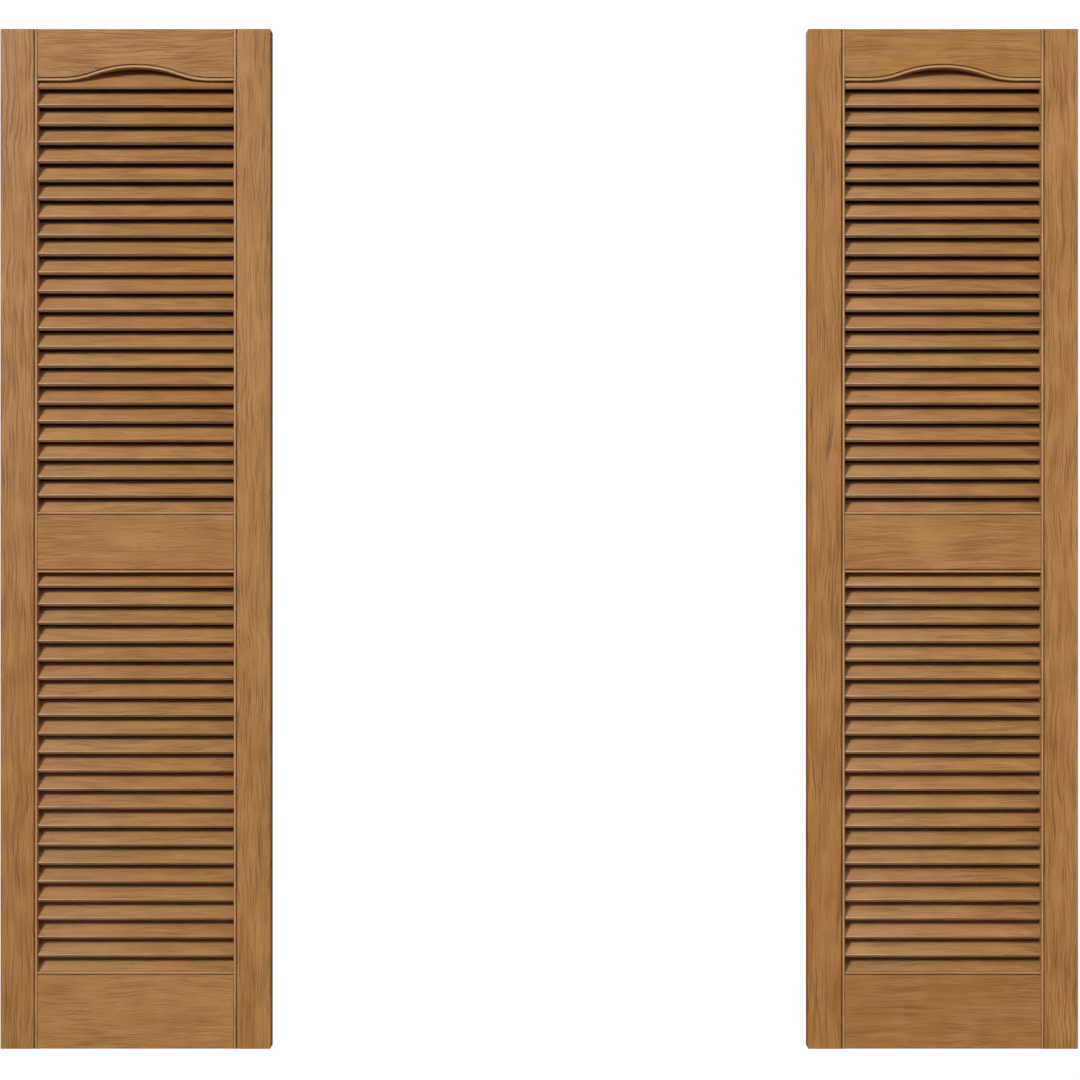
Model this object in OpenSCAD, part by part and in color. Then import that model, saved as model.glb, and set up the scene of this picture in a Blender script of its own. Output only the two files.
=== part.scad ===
// A pair of fixed louvred timber window shutters, each a framed leaf:
// two stiles, an arched top rail, a mid rail, a bottom rail and two banks of
// sloping slats housed in the stiles. Steel keyhole plates let into the
// backs hang each leaf on screws in the wall.
//
// X runs across the pair, Z runs up and the front faces -Y.
// The origin is at the bottom of the pair, halfway across and halfway deep.

/* [Leaf] */
// Height of each leaf
shutter_h = 1397; // [1150:1:1700]
// Width of each leaf
shutter_w = 370; // [300:1:460]
// Clear width of the window between the two leaves
window_w = 736; // [400:1:1200]
// Thickness of a leaf, which is the thickness of its stiles
stile_t = 35; // [34:0.5:45]

/* [Stiles and rails] */
// Width of a stile
stile_w = 50.8; // [45:0.1:75]
// Thickness of the rails
rail_t = 32; // [30:0.5:33]
// Step from the front of the stiles back to the front of the rails
rail_set = 1.2; // [0.5:0.1:2]
// Height of the top rail at its ends
top_rail_h = 71; // [60:1:110]
// Height of the mid rail
mid_rail_h = 84; // [60:1:140]
// Height of the bottom rail
bottom_rail_h = 106; // [80:1:180]
// Height of the lower edge of the mid rail
mid_rail_z = 652; // [500:1:760]
// Length of the tenons on the rails
tenon_len = 36; // [20:1:38]
// Thickness of the tenons
tenon_t = 10; // [8:0.5:14]
// Width of the shoulder above and below each tenon
tenon_shoulder = 16; // [14:0.5:24]
// Least wood between the top mortise and the slat housing below it
mortise_wall = 2.4; // [2:0.1:4]
// Clearance around the tenons in their mortises
tenon_fit = 0.15; // [0.05:0.05:0.4]

/* [Beads] */
// Width of the bead that runs round each bank of slats
bead_w = 3.9; // [3:0.1:6]
// Width of the groove beside the bead
quirk_w = 1.5; // [1:0.1:3]
// Depth of the groove beside the bead
quirk_d = 2.3; // [2:0.1:3.5]

/* [Arch] */
// Rise of the arched lower edge of the top rail
arch_rise = 18; // [8:1:26]
// Half of the width of the arch
arch_half = 102; // [80:1:110]
// Distance from the middle to where the curve turns over
arch_turn = 58; // [40:1:70]

/* [Slats] */
// Height from one slat to the next, before it is evened out over the bank
slat_pitch = 25.4; // [22:0.1:28]
// Angle of the slats from level
slat_angle = 45; // [42:1:48]
// Width of a slat along its slope
slat_w = 36; // [34:0.5:37]
// Thickness of a slat
slat_t = 6.4; // [5:0.1:8]
// Radius on the upper edge of a slat's nose
nose_top_r = 1; // [0.5:0.1:1.5]
// Radius on the lower edge of a slat's nose
nose_low_r = 2.4; // [0.5:0.1:2.5]
// Step from the front of the stiles back to the noses of the slats
slat_set = 2.2; // [1.5:0.1:3]
// Height from the top rail down to the first slat of the upper bank
drop_upper = 7; // [5:0.1:16]
// Height from the mid rail down to the first slat of the lower bank
drop_lower = 17; // [5:0.1:18]
// Depth of the housings for the slat ends
housing_d = 7; // [4:0.5:10]
// Clearance around the slats in their housings
slat_fit = 0.15; // [0.05:0.05:0.4]
// Depth below a rail's top at which its trimmed slat starts
end_tuck = 3; // [1:0.1:4]
// Thickness of the lip that hides a trimmed slat
lip_t = 4; // [3.9:0.1:6]
// Gap between a slat and the bevelled underside of a rail
rail_gap = 1; // [0.5:0.1:2]
// Step from the back of the stiles to the back of the widened top slat
arch_slat_set = 1.5; // [1:0.1:3]

/* [Wall hangers] */
// Length of a keyhole plate
plate_l = 50; // [45:1:60]
// Width of a keyhole plate
plate_w = 16; // [15:0.5:20]
// Thickness of a keyhole plate
plate_t = 2; // [1.5:0.1:3]
// Distance from a leaf's outer edge to the middle of a plate
plate_in = 20; // [16:0.5:30]
// Distance from a leaf's end to the entry hole of the nearer plate
plate_end = 120; // [90:1:150]
// Radius of the entry hole, which passes the head of a wall screw
entry_r = 5; // [4:0.1:6]
// Width of the slot that grips the neck of a wall screw
neck_w = 5; // [4:0.1:6]
// Length of the slot above the entry hole
slot_l = 11; // [9:0.5:13]
// Depth of the pocket behind a plate
pocket_d = 8; // [6:0.5:12]
// Distance from the entry hole to each screw of a plate
plate_screw_low = 12; // [11:0.5:14]
// Distance from the entry hole to the upper screw of a plate
plate_screw_high = 22; // [20:0.5:25]
// Diameter of the shank of a plate screw
screw_d = 3; // [2.5:0.1:3.5]
// Diameter of the head of a plate screw
screw_head_d = 6; // [5:0.1:7]
// Length of a plate screw
screw_l = 14; // [10:1:18]
// Clearance around the hanger plates and screws
hanger_fit = 0.1; // [0.05:0.05:0.3]

/* [Hidden] */
ARC_STEPS = 6; // flats on a small rounded edge
CURVE_STEPS = 16; // flats on each half of an arch curve
CUT = 1; // how far a cutter runs past the face that it opens
BANK_NODES = 11; // louvre nodes in each bank

timber = [0.66, 0.48, 0.30];
steel = [0.62, 0.64, 0.66];

bead_r = bead_w / 2;
opening_w = shutter_w - 2 * stile_w; // clear width between the stiles
leaf_x = window_w / 2 + shutter_w / 2; // middle of each leaf
slat_len = opening_w + 2 * housing_d;

top_rail_z = shutter_h - top_rail_h;
mid_rail_top = mid_rail_z + mid_rail_h;

slope_run = cos(slat_angle);
slope_rise = sin(slat_angle);
slope_t_rise = slat_t / slope_run; // upright thickness of a slat

// Even the pitch out so that each bank ends behind the rail below it
upper_bank = top_rail_z - drop_upper - (mid_rail_top - end_tuck);
lower_bank = mid_rail_z - drop_lower - (bottom_rail_h - end_tuck);
upper_n = round(upper_bank / slat_pitch); // whole slats in the upper bank
lower_n = round(lower_bank / slat_pitch); // whole slats in the lower bank
upper_pitch = upper_bank / upper_n;
lower_pitch = lower_bank / lower_n;

// Nose heights of all slats. The last of each bank is trimmed
upper_z = [for (i = [0:upper_n]) top_rail_z - drop_upper - i * upper_pitch];
lower_z = [for (i = [0:lower_n]) mid_rail_z - drop_lower - i * lower_pitch];

// Arch: a crown arc and two shoulder arcs that meet at arch_turn
arch_bend = 2 * atan(arch_rise / arch_half);
crown_r = arch_turn / sin(arch_bend);
shoulder_r = arch_half / sin(arch_bend) - crown_r;

// ---- Outlines ----

// Points round an arc, from one angle to another
function arc(cx, cy, r, from, to, steps) = [
  for (i = [0:steps])
    let (a = from + (to - from) * i / steps)
    [cx + r * cos(a), cy + r * sin(a)]
];

// Point on a slat's section. s runs up the slope, n is the depth below its face
function on_slat(z, s, n) = [
  slat_set + s * slope_run + n * slope_rise,
  z + s * slope_rise - n * slope_run
];

// Rounded nose of a slat, from its face round to its underside
function nose_points(z) = concat(
  [for (i = [0:ARC_STEPS])
    let (a = 90 * i / ARC_STEPS)
    on_slat(z, nose_top_r * (1 - sin(a)), nose_top_r * (1 - cos(a)))],
  [for (i = [0:ARC_STEPS])
    let (a = 90 * i / ARC_STEPS)
    on_slat(z, nose_low_r * (1 - cos(a)), slat_t - nose_low_r * (1 - sin(a)))]
);

// Section of a whole slat whose face starts at height z
function slat_points(z) = concat(
  [on_slat(z, slat_w, 0)],
  nose_points(z),
  [on_slat(z, slat_w, slat_t)]
);

// Square section of a slat, grown all round by g
function blank_points(z, g) = [
  on_slat(z, -g, -g),
  on_slat(z, slat_w + g, -g),
  on_slat(z, slat_w + g, slat_t + g),
  on_slat(z, -g, slat_t + g)
];

// Depth of the plumb front of a trimmed slat
trim_d = rail_set + lip_t + slat_fit;

// Section of a trimmed slat, grown by g on all but its plumb front
function trimmed_points(z, g) = let (back = trim_d - g - slat_set) [
  [trim_d - g, z + back * slope_rise / slope_run + g / slope_run],
  on_slat(z, slat_w + g, -g),
  on_slat(z, slat_w + g, slat_t + g),
  on_slat(z, -g, slat_t + g),
  [trim_d - g, z - back * slope_run / slope_rise - g / slope_rise]
];

// Section of the widened slat behind the arch, cut plumb at the back
function arch_slat_points(z) = let (
  back = stile_t - arch_slat_set,
  rise = (back - slat_set) * slope_rise / slope_run
) concat(
  [[back, z + rise]],
  nose_points(z),
  [[back, z + rise - slope_t_rise]]
);

// Housing of the widened slat, grown all round by g
function arch_housing_points(z, g) = let (
  back = stile_t - arch_slat_set + g,
  rise = (back - slat_set) * slope_rise / slope_run
) [
  on_slat(z, -g, -g),
  [back, z + rise + g / slope_run],
  [back, z + rise - slope_t_rise - g / slope_run],
  on_slat(z, -g, slat_t + g)
];

// Half of the arch from the middle outwards, off to the rail side by off
function half_arch(off) = concat(
  arc(0, top_rail_z + arch_rise - crown_r, crown_r + off,
      90, 90 - arch_bend, CURVE_STEPS),
  [for (i = [1:CURVE_STEPS])
    let (a = 270 - arch_bend * (1 - i / CURVE_STEPS))
    [arch_half + (shoulder_r - off) * cos(a),
     top_rail_z + shoulder_r + (shoulder_r - off) * sin(a)]]
);

// The whole arch from left to right, out to half_w on each side
function arch_line(off, half_w) = concat(
  [[-half_w, top_rail_z + off]],
  [for (i = [2 * CURVE_STEPS:-1:1]) [-half_arch(off)[i][0], half_arch(off)[i][1]]],
  half_arch(off),
  [[half_w, top_rail_z + off]]
);

// ---- Helpers ----

// Extrude an outline drawn in depth and height across a leaf
module across(len) {
  translate([-len / 2, -stile_t / 2, 0])
    rotate([90, 0, 90])
      linear_extrude(len)
        children();
}

// Extrude an outline drawn in width and height through a range of depths
module through(from, to) {
  translate([0, to - stile_t / 2, 0])
    rotate([90, 0, 0])
      linear_extrude(to - from)
        children();
}

// Place a leaf's piece in the left or the right leaf
module in_leaf(side) {
  if (side == "left") translate([-leaf_x, 0, 0]) children();
  else translate([leaf_x, 0, 0]) children();
}

// ---- Stiles ----

// Section of a stile whose bead is towards +X, from its outer edge at 0
function stile_points() = concat(
  [[0, 0], [stile_w - bead_w - quirk_w, 0],
   [stile_w - bead_w - quirk_w, quirk_d], [stile_w - bead_w, quirk_d]],
  arc(stile_w - bead_r, bead_r, bead_r, 180, 360, 2 * ARC_STEPS),
  [[stile_w, stile_t], [0, stile_t]]
);

// Housings for every slat end, cut into the inner edge of a stile
module slat_housings() {
  translate([stile_w - housing_d - slat_fit, -stile_t / 2, 0])
    rotate([90, 0, 90])
      linear_extrude(housing_d + slat_fit + CUT) {
        polygon(arch_housing_points(upper_z[0], slat_fit));
        for (i = [1:upper_n - 1]) polygon(blank_points(upper_z[i], slat_fit));
        polygon(trimmed_points(upper_z[upper_n], slat_fit));
        for (i = [0:lower_n - 1]) polygon(blank_points(lower_z[i], slat_fit));
        polygon(trimmed_points(lower_z[lower_n], slat_fit));
      }
}

// One tenon, drawn from the shoulder line out along +X and grown by g
module tenon(z_low, z_high, g) {
  front = rail_set + rail_t / 2 - tenon_t / 2 - stile_t / 2;
  translate([-CUT, front - g, z_low - g])
    cube([tenon_len + CUT + g, tenon_t + 2 * g, z_high - z_low + 2 * g]);
}

// Top of the housing of the widened slat, where the stile's wood starts again
arch_housing_top = arch_housing_points(upper_z[0], slat_fit)[1][1];

// The tenon of the rail that is named, grown by g
module rail_tenon(rail, g) {
  if (rail == "top") tenon(arch_housing_top + mortise_wall, shutter_h - tenon_shoulder, g);
  if (rail == "mid") tenon(mid_rail_z + tenon_shoulder, mid_rail_top - tenon_shoulder, g);
  if (rail == "bottom") tenon(tenon_shoulder, bottom_rail_h - tenon_shoulder, g);
}

module stile() {
  difference() {
    translate([0, -stile_t / 2, 0])
      linear_extrude(shutter_h)
        polygon(stile_points());
    slat_housings();
    for (rail = ["top", "mid", "bottom"])
      translate([stile_w, 0, 0])
        mirror([1, 0, 0])
          rail_tenon(rail, tenon_fit);
  }
}

// A stile at the leaf's left edge (turn 1) or right edge (turn -1)
module placed_stile(turn) {
  if (turn > 0) translate([-shutter_w / 2, 0, 0]) stile();
  else translate([shutter_w / 2, 0, 0]) mirror([1, 0, 0]) stile();
}

// ---- Rails ----

rail_back = rail_set + rail_t;

// Bead and groove along a rail's edge at height z, as a run of outline points.
// up is 1 when the rail is above the edge and -1 when it is below it
function edge_bead(z, up) = concat(
  arc(rail_set + bead_r, z + up * bead_r, bead_r,
      up > 0 ? 270 : 90, up > 0 ? 90 : 270, 2 * ARC_STEPS),
  [[rail_set + quirk_d, z + up * bead_w],
   [rail_set + quirk_d, z + up * (bead_w + quirk_w)],
   [rail_set, z + up * (bead_w + quirk_w)]]
);

// Upper edge of a rail from the front to the back, grooved for a trimmed slat
function grooved_top(z) = let (
  slat_z = z - end_tuck,
  seat = trimmed_points(slat_z, slat_fit),
  low = seat[3]
) [
  [rail_set + lip_t, z],
  seat[4],
  low,
  [low[0] + (z - low[1]) * slope_run / slope_rise, z],
  [rail_back, z]
];

// Depth at which the bevel under a rail starts, for a slat that is drop below
function bevel_d(drop) = slat_set + (drop * slope_run - rail_gap) / slope_rise;

// Lower edge of a rail from the back to the front, bevelled along a slat's face
function bevelled_foot(z, drop) = [
  [rail_back, z + (rail_back - bevel_d(drop)) * slope_rise / slope_run],
  [bevel_d(drop), z]
];

function reversed(points) = [for (i = [len(points) - 1:-1:0]) points[i]];

module mid_rail() {
  across(opening_w)
    polygon(concat(
      edge_bead(mid_rail_z, 1),
      reversed(edge_bead(mid_rail_top, -1)),
      grooved_top(mid_rail_top),
      bevelled_foot(mid_rail_z, drop_lower)
    ));
  rail_tenons("mid");
}

module bottom_rail() {
  across(opening_w)
    polygon(concat(
      [[rail_back, 0], [rail_set, 0]],
      reversed(edge_bead(bottom_rail_h, -1)),
      grooved_top(bottom_rail_h)
    ));
  rail_tenons("bottom");
}

// The tenons at both ends of a rail
module rail_tenons(rail) {
  for (turn = [0, 1])
    mirror([turn, 0, 0])
      translate([opening_w / 2, 0, 0])
        rail_tenon(rail, 0);
}

// Flat outline of the top rail, its lower edge raised by off
module arched_outline(off) {
  polygon(concat(
    arch_line(off, opening_w / 2),
    [[opening_w / 2, shutter_h], [-opening_w / 2, shutter_h]]
  ));
}

// The groove beside the top rail's bead, as a band that follows the arch
module arch_quirk() {
  through(rail_set - CUT, rail_set + quirk_d)
    polygon(concat(
      arch_line(bead_w, opening_w / 2 + CUT),
      reversed(arch_line(bead_w + quirk_w, opening_w / 2 + CUT))
    ));
}

module top_rail() {
  difference() {
    through(rail_set, rail_back) arched_outline(0);
    arch_quirk();
    across(opening_w + 2 * CUT)
      polygon([
        [bevel_d(drop_upper), top_rail_z],
        [bevel_d(drop_upper) - CUT * slope_run, top_rail_z - CUT * slope_rise],
        [rail_back + CUT, top_rail_z - CUT * slope_rise],
        [rail_back + CUT,
         top_rail_z + (rail_back + CUT - bevel_d(drop_upper)) * slope_rise / slope_run]
      ]);
  }
  rail_tenons("top");
}

// ---- Slats ----

module slat(z) {
  across(slat_len) polygon(slat_points(z));
}

module trimmed_slat(z) {
  across(slat_len) polygon(trimmed_points(z, 0));
}

module arch_louvre() {
  across(slat_len) polygon(arch_slat_points(upper_z[0]));
}

module end_louvres() {
  trimmed_slat(upper_z[upper_n]);
  trimmed_slat(lower_z[lower_n]);
}

// Share count slats out over the louvre nodes and give the first of node i
function first_slat(i, count) = round((i - 1) * count / BANK_NODES);

// Whole slats of louvre node i, counted from the top of the bank.
// The first slat of the upper bank is the widened one
module upper_louvres(i) {
  count = upper_n - 1;
  for (k = [first_slat(i, count):1:first_slat(i + 1, count) - 1]) slat(upper_z[k + 1]);
}

module lower_louvres(i) {
  for (k = [first_slat(i, lower_n):1:first_slat(i + 1, lower_n) - 1]) slat(lower_z[k]);
}

// ---- Wall hangers ----

// Entry hole heights of the lower and the upper plates
plate_z = [plate_end, shutter_h - plate_end];
plate_mid = (plate_screw_high - plate_screw_low) / 2; // plate's middle, above its entry

// Repeat for every hanger plate of both leaves, at its entry hole on the back
module each_plate() {
  for (leaf = [-leaf_x, leaf_x], edge = [-1, 1], z = plate_z)
    translate([leaf + edge * (shutter_w / 2 - plate_in), stile_t / 2, z])
      children();
}

// A bar with round ends, from height z0 to z1 and sunk into the back by depth
module round_bar(r, z0, z1, depth) {
  for (z = [z0, z1])
    translate([0, CUT, z]) rotate([90, 0, 0]) cylinder(h = depth + CUT, r = r, $fn = 48);
  translate([-r, -depth, z0]) cube([2 * r, depth + CUT, z1 - z0]);
}

// Everything cut out of the back of a stile for one plate
module plate_recess() {
  g = hanger_fit;
  translate([-plate_w / 2 - g, -plate_t, plate_mid - plate_l / 2 - g])
    cube([plate_w + 2 * g, plate_t + CUT, plate_l + 2 * g]);
  round_bar(entry_r, 0, slot_l, plate_t + pocket_d);
  for (z = [-plate_screw_low, plate_screw_high])
    translate([0, 0, z]) rotate([90, 0, 0])
      cylinder(h = screw_l + g, d = screw_d + 2 * g, $fn = 32);
}

module plate() {
  difference() {
    translate([-plate_w / 2, -plate_t, plate_mid - plate_l / 2])
      cube([plate_w, plate_t, plate_l]);
    translate([0, CUT, 0]) rotate([90, 0, 0])
      cylinder(h = plate_t + 2 * CUT, r = entry_r, $fn = 48);
    round_bar(neck_w / 2, 0, slot_l, plate_t + CUT);
    for (z = [-plate_screw_low, plate_screw_high])
      translate([0, 0, z]) screw_solid(hanger_fit);
  }
}

// A countersunk screw driven in from the back, grown by g
module screw_solid(g) {
  sink = (screw_head_d - screw_d) / 2;
  rotate([90, 0, 0]) {
    cylinder(h = screw_l + g, d = screw_d + 2 * g, $fn = 32);
    cylinder(h = sink, d1 = screw_head_d + 2 * g, d2 = screw_d + 2 * g, $fn = 32);
  }
}

// ---- Nodes ----

module framed_stile(side, turn) {
  color(timber)
    difference() {
      in_leaf(side) placed_stile(turn);
      each_plate() plate_recess();
    }
}

framed_stile("left", 1);  // left_outer_stile
framed_stile("left", -1);  // left_inner_stile
color(timber) in_leaf("left") top_rail();  // left_top_rail
color(timber) in_leaf("left") mid_rail();  // left_mid_rail
color(timber) in_leaf("left") bottom_rail();  // left_bottom_rail
framed_stile("right", -1);  // right_outer_stile
framed_stile("right", 1);  // right_inner_stile
color(timber) in_leaf("right") top_rail();  // right_top_rail
color(timber) in_leaf("right") mid_rail();  // right_mid_rail
color(timber) in_leaf("right") bottom_rail();  // right_bottom_rail
color(steel) each_plate() plate();  // hanger_plates
color(steel)  // hanger_screws
    each_plate()
      for (z = [-plate_screw_low, plate_screw_high]) translate([0, 0, z]) screw_solid(0);

for (side = ["left", "right"]) {
  color(timber) in_leaf(side) arch_louvre();
  color(timber) in_leaf(side) end_louvres();
  for (i = [1:BANK_NODES]) {
    color(timber) in_leaf(side) upper_louvres(i);
    color(timber) in_leaf(side) lower_louvres(i);
  }
}
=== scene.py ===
"""Looks for a pair of louvred timber window shutters: boards, slats, hangers and the studio."""

import math

import bmesh
import bpy
from bpy.props import FloatProperty, FloatVectorProperty, PointerProperty
from mathutils import Matrix, Vector


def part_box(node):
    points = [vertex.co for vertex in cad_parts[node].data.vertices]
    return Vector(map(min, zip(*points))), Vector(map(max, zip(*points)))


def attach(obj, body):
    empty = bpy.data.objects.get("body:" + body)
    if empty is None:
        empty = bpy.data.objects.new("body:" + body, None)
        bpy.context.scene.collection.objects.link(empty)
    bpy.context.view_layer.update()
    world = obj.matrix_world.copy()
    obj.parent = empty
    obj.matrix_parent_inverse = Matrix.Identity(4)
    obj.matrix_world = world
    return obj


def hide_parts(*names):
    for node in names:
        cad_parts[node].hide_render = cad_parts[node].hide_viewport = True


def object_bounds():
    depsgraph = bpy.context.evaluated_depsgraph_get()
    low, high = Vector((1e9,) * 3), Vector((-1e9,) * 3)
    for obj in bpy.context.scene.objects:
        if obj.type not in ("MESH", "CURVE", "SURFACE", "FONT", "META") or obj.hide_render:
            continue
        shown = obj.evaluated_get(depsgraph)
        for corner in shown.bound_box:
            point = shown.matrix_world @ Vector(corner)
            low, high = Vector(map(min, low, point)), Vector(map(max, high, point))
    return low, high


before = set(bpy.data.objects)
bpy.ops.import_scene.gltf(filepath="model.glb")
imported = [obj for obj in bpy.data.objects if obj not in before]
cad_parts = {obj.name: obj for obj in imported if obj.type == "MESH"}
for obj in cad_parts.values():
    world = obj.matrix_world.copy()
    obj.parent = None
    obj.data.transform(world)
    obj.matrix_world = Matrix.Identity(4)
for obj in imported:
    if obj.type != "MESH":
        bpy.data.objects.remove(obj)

bl_info = {
    "name": "Louvred Shutters",
    "version": (1, 0, 0),
    "blender": (4, 5, 0),
    "location": "View3D > Sidebar > Shutters",
    "description": "Finishes a pair of louvred timber window shutters",
    "category": "Add Mesh",
}

CAD_BOX = [list(corner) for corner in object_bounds()]
SIDES = ("left", "right")
BANKS = ("upper", "lower")
MM = 0.001
NEAR = 1e-5  # two places closer than this are the same, in metres
FLAT = math.radians(0.3)  # faces that turn less than this are one face
CRISP = math.radians(32)  # faces that turn more than this meet in a crisp edge
SQUARE = 0.01  # how far a normal may lean and still be square to a plate

# Each layer of the grain: its size across, into and along a board in mm, then its detail.
GRAIN = {
    "sway": (70, 60, 150, 1.0),
    "waver": (14, 16, 26, 2.0),
    "figure": (34, 40, 130, 1.0),
    "lines": (1.3, 16, 64, 1.0),
    "wide": (4.5, 20, 75, 1.0),
    "pores": (1.0, 3, 8, 1.0),
    "bands": (9, 30, 110, 2.0),
    "clouds": (30, 30, 48, 2.0),
    "fibres": (0.8, 2, 12, 1.0),
    "patches": (45, 70, 80, 1.0),
}
# Where in the noise a layer starts to show and where it shows in full.
SHOWS = {"lines": (0.53, 0.63), "wide": (0.48, 0.7), "pores": (0.62, 0.76), "patches": (0.3, 0.65)}
BOARD_SHIFT = (91.7, 23.9, 377.3)  # mm from one board's grain to the next one's
LEVEL_LINES = 0.7  # strength of the lines on a level board, against an upright one
TONE_DEPTH, WIDE_DEPTH, FIBRE_DEPTH = 0.9, 0.08, 0.2  # how strongly layers tint the wood
RELIEF = {"fibres": 0.1, "lines": 0.7, "wide": 0.15, "pores": 0.2}  # how deep layers are cut
CLOUD_GLOSS, LINE_GLOSS = 0.1, 0.08  # roughness that the clouds and the lines add
RUBBED_AND_LIT_IN_FULL = 0.6  # wear and light value at which the rubbed wear and the painted highlights show in full
LEAST_NOSE_HIGHLIGHT = 0.1  # share of the painted nose highlight that is left at a leaf's right
SHEEN_FADE_START, SHEEN_FADE_END = -0.85, 0.5  # where the painted sheen on a leaf's left fades out, as shares of half its width
SHADE_ONSET, SHADE_FADE = 1.2 * MM, 4 * MM  # depth over which the painted shade deep in the louvres comes in and dies out
NOSE_FOOT_SHADE = -0.8  # painted shade at the foot of the rounding on a slat's nose, whose top has a painted highlight of 1
ZINC_CLOUD, ZINC_GRAIN = 4 * MM, 0.7 * MM  # size of the patches and the grain of the zinc
ZINC_DEPTH, ZINC_GLOSS = 0.05 * MM, 0.2  # depth of its grain, and roughness its patches add

# A screw's cross recess: its reach and half width against the head's radius, its depth
# against the head's height, and how much it narrows toward its floor.
CROSS_REACH, CROSS_HALF_WIDTH, CROSS_DEPTH, CROSS_TAPER = 0.6, 0.15, 0.9, 0.5
HEAD_SIDES = 24
SCREW_TURN = 40  # radians of turn for each metre up, so that recesses stand at odd angles

# Places of the lights, and what the main one faces, from the middle of the shutters.
KEY_PLACE, KEY_AIM = Vector((-4.0, -6.9, 3.55)), Vector((0.3, 0, 0.5))
FILL_PLACE, FILL_SIZE = Vector((0.9, -5.5, 1.4)), (6, 4)
SIDE_PLACE, SIDE_SIZE = Vector((3.8, -1.5, 1.6)), (0.8, 1.6)
BACK_PLACE, BACK_SIZE = Vector((-1.5, 3.4, 2.2)), (2, 2)
FLOOR_COLOUR, FLOOR_ROUGHNESS = (0.86, 0.86, 0.85), 0.9
EYE_RIGHT = 0.001  # the camera stands this far right of the middle, in metres
SENSOR_WIDTH = 36  # mm

STILES = [f"{side}_{edge}_stile" for side in SIDES for edge in ("outer", "inner")]
LEAF_MIDDLE = (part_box("right_inner_stile")[0][0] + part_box("right_outer_stile")[1][0]) / 2
LEAF_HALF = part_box("right_outer_stile")[1][0] - LEAF_MIDDLE  # the left leaf mirrors the right
LOUVRES = [
    name
    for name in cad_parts
    if any(f"_{bank}_louvres_" in name for bank in BANKS)
]


# ---- Shader maths ----


class Signal:
    """A number, colour or vector on its way through a material's nodes."""

    def __init__(self, tree, socket):
        self.tree = tree
        self.socket = socket

    def math(self, operation, first, second):
        return add_node(self.tree, "ShaderNodeMath", {0: first, 1: second}, operation=operation)

    def __add__(self, other):
        return self.math("ADD", self, other)

    __radd__ = __add__

    def __sub__(self, other):
        return self.math("SUBTRACT", self, other)

    def __rsub__(self, other):
        return self.math("SUBTRACT", other, self)

    def __mul__(self, other):
        return self.math("MULTIPLY", self, other)

    __rmul__ = __mul__

    def __truediv__(self, other):
        return self.math("DIVIDE", self, other)


def add_node(tree, kind, inputs, out=0, **settings):
    """Adds a node, sets it, fills its sockets and returns one output as a Signal."""
    node = tree.nodes.new(kind)
    for key, value in settings.items():
        setattr(node, key, value)
    for key, value in inputs.items():
        if isinstance(value, Signal):
            tree.links.new(value.socket, node.inputs[key])
        else:
            node.inputs[key].default_value = value
    return Signal(tree, node.outputs[out])


def rgba(colour):
    """A colour setting as a shader colour."""
    return (*colour, 1.0)


def rise(tree, value, low, high):
    """0 below low, 1 above high and a smooth rise between them."""
    sockets = {"Value": value, "From Min": low, "From Max": high, "To Min": 0.0, "To Max": 1.0}
    return add_node(tree, "ShaderNodeMapRange", sockets, interpolation_type="SMOOTHSTEP")


def blend(tree, factor, first, second):
    """Mixes two colours."""
    sockets = {0: factor, 6: first, 7: second}
    return add_node(tree, "ShaderNodeMix", sockets, out=2, data_type="RGBA")


def noise(tree, place, detail, size=1.0):
    """Soft noise about one size across, from 0 to 1."""
    sockets = {"Vector": place, "Scale": 1 / size, "Detail": detail}
    return add_node(tree, "ShaderNodeTexNoise", sockets)


def vector(tree, x, y, z):
    return add_node(tree, "ShaderNodeCombineXYZ", {"X": x, "Y": y, "Z": z})


def mesh_value(tree, name):
    """A number that the mesh carries under that name."""
    return add_node(tree, "ShaderNodeAttribute", {}, out="Fac", attribute_name=name)


def object_place(tree):
    """Place in the object's own space, in metres."""
    return add_node(tree, "ShaderNodeTexCoord", {}, out="Object")


def object_axes(tree):
    """The x, y and z of the place in the object's own space."""
    split = tree.nodes.new("ShaderNodeSeparateXYZ")
    tree.links.new(object_place(tree).socket, split.inputs[0])
    return [Signal(tree, output) for output in split.outputs]


def new_material(name):
    """An empty material with its shader, and the tree that holds them."""
    material = bpy.data.materials.new(name)
    material.use_nodes = True
    tree = material.node_tree
    shader = tree.nodes["Principled BSDF"]
    return material, tree, shader


def wire(tree, shader, **signals):
    """Links signals to the shader's sockets, with spaces written as underscores."""
    for name, signal in signals.items():
        tree.links.new(signal.socket, shader.inputs[name.replace("_", " ")])


# ---- Finishes ----


def board_place(tree, along, board):
    """Place on a board in millimetres, as across, depth and along, different on each board."""
    x, y, z = object_axes(tree)
    across, run = (x, z) if along == "Z" else (z, x)
    return [axis / MM + board * shift for axis, shift in zip((across, y, run), BOARD_SHIFT)]


def sheen_share(tree):
    """Share of the painted sheen: 1 at the left of each leaf, falling to 0 past its middle."""
    x = object_axes(tree)[0]
    from_middle = x - x.math("SIGN", x, 0.0) * LEAF_MIDDLE
    return 1 - rise(tree, from_middle, LEAF_HALF * SHEEN_FADE_START, LEAF_HALF * SHEEN_FADE_END)


def soil(tree, colour, looks):
    """Darkens a colour with painted shade where the louvres are deep, in place of the shadow
    between the slats.
    """
    depth = object_axes(tree)[1]
    comes = rise(tree, depth, looks.louvre_shade_start, looks.louvre_shade_start + SHADE_ONSET)
    goes = rise(tree, depth, looks.louvre_shade_end, looks.louvre_shade_end + SHADE_FADE)
    return blend(tree, comes * (1 - goes) * looks.soil, colour, rgba(looks.shade_and_grime))


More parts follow.
